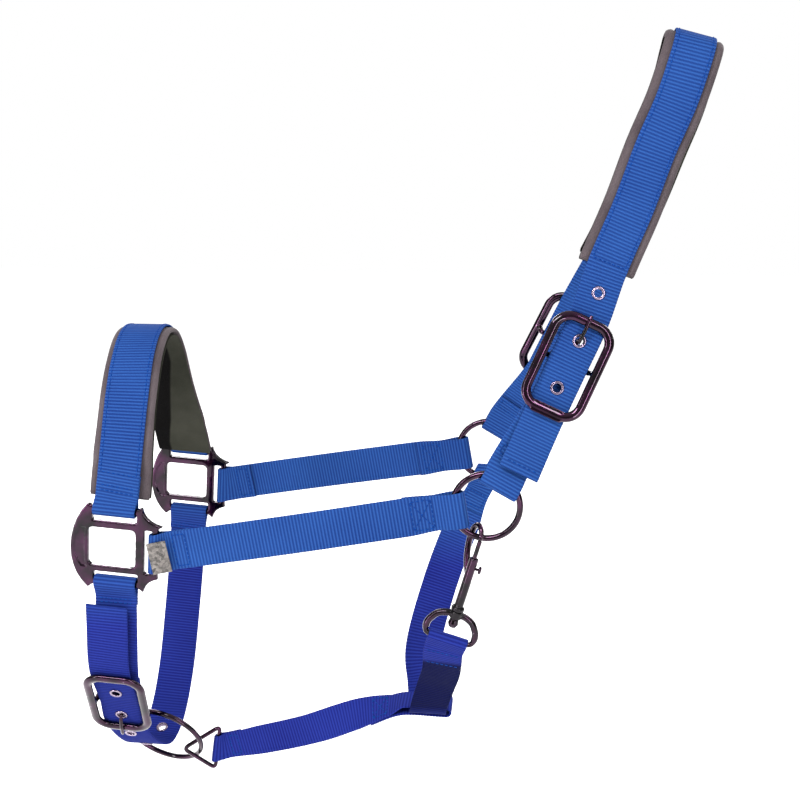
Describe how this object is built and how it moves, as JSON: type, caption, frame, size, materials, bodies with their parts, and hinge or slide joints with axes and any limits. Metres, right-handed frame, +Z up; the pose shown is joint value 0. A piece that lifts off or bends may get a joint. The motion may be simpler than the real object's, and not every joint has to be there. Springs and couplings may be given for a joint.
{
  "type": "head halter",
  "caption": "Horse head halter of ribbed blue webbing with padded nose and crown, buckles, cast squares, rings and a throat snap.",
  "frame": {"origin": "poll point: the middle of the crown lining's inner face, where the halter hangs on the head", "axes": "+X towards the back of the head, +Z up, -Y the near side with the snap and the chin buckle"},
  "size_m": [0.4063, 0.1512, 0.5175],
  "materials": {
    "webbing": "ribbed royal-blue nylon webbing",
    "pad": "taupe-grey neoprene foam, matt",
    "lining": "black-olive knitted lining",
    "metal": "polished gunmetal (black nickel) plating",
    "eyelet": "rolled gunmetal eyelets",
    "tag": "plain grey woven label"
  },
  "bodies": {
    "webbing_frame": {"near_side_square": "metal", "near_cheek_strap": "webbing", "near_buckle_strap": "webbing", "near_crown_buckle": "metal", "far_side_square": "metal", "far_cheek_strap": "webbing", "far_buckle_strap": "webbing", "far_crown_buckle": "metal", "near_crown_eyelet_1": "eyelet", "near_crown_eyelet_2": "eyelet", "near_crown_eyelet_3": "eyelet", "far_crown_eyelet_1": "eyelet", "far_crown_eyelet_2": "eyelet", "far_crown_eyelet_3": "eyelet", "crown_strap": "webbing", "crown_pad": "pad", "crown_lining": "lining", "noseband_strap": "webbing", "noseband_pad": "pad", "noseband_lining": "lining", "chin_buckle_strap": "webbing", "chin_buckle": "metal", "chin_eyelet_1": "eyelet", "chin_eyelet_2": "eyelet", "chin_eyelet_3": "eyelet", "chin_eyelet_4": "eyelet", "chin_eyelet_5": "eyelet", "chin_strap": "webbing", "throat_strap": "webbing", "jaw_strap": "webbing", "snap_eye": "metal", "name_tag": "tag"},
    "near_ring": {"near_cheek_ring": "metal"},
    "near_tongue": {"near_crown_tongue": "metal"},
    "far_ring": {"far_cheek_ring": "metal"},
    "far_tongue": {"far_crown_tongue": "metal"},
    "chin_tongue_body": {"chin_tongue": "metal"},
    "chin_ring_body": {"chin_ring": "metal"},
    "link": {"triangle_link": "metal"},
    "hook": {"snap_hook": "metal", "snap_spring": "metal"},
    "bolt": {"snap_bolt": "metal"}
  },
  "joints": [
    {"name": "near_ring_spin", "type": "hinge", "parent": "webbing_frame", "child": "near_ring", "pos_m": [-0.1197, -0.06, -0.2759], "axis": [0, 1, 0], "continuous": true},
    {"name": "far_ring_spin", "type": "hinge", "parent": "webbing_frame", "child": "far_ring", "pos_m": [-0.1221, 0.06, -0.2717], "axis": [0, 1, 0], "continuous": true},
    {"name": "chin_ring_spin", "type": "hinge", "parent": "webbing_frame", "child": "chin_ring_body", "pos_m": [-0.3535, -0.0007, -0.4789], "axis": [0.166, 0.8661, 0.4715], "continuous": true},
    {"name": "near_tongue_hinge", "type": "hinge", "parent": "webbing_frame", "child": "near_tongue", "pos_m": [-0.072, -0.036, -0.1897], "axis": [0.9116, 0, -0.4111], "range_deg": [0, 8]},
    {"name": "far_tongue_hinge", "type": "hinge", "parent": "webbing_frame", "child": "far_tongue", "pos_m": [-0.073, 0.036, -0.1872], "axis": [-0.9116, 0, 0.4111], "range_deg": [0, 8]},
    {"name": "chin_tongue_hinge", "type": "hinge", "parent": "webbing_frame", "child": "chin_tongue_body", "pos_m": [-0.367, -0.044, -0.4252], "axis": [-0.995, -0.0503, 0.0865], "range_deg": [0, 8]},
    {"name": "link_swing", "type": "hinge", "parent": "webbing_frame", "child": "link", "pos_m": [-0.3154, 0.0044, -0.4899], "axis": [0.14, 0, 0.9902], "range_deg": [-1.5, 1.5]},
    {"name": "snap_swivel", "type": "hinge", "parent": "webbing_frame", "child": "hook", "pos_m": [-0.1424, -0.0645, -0.3632], "axis": [0.28, 0, 0.96], "range_deg": [-20, 6]},
    {"name": "snap_bolt_slide", "type": "slide", "parent": "hook", "child": "bolt", "axis": [-0.28, 0, -0.96], "range_m": [0, 0.007], "stiffness_N_per_m": 200, "springref_m": -0.002, "deforming": ["snap_spring"]}
  ]
}
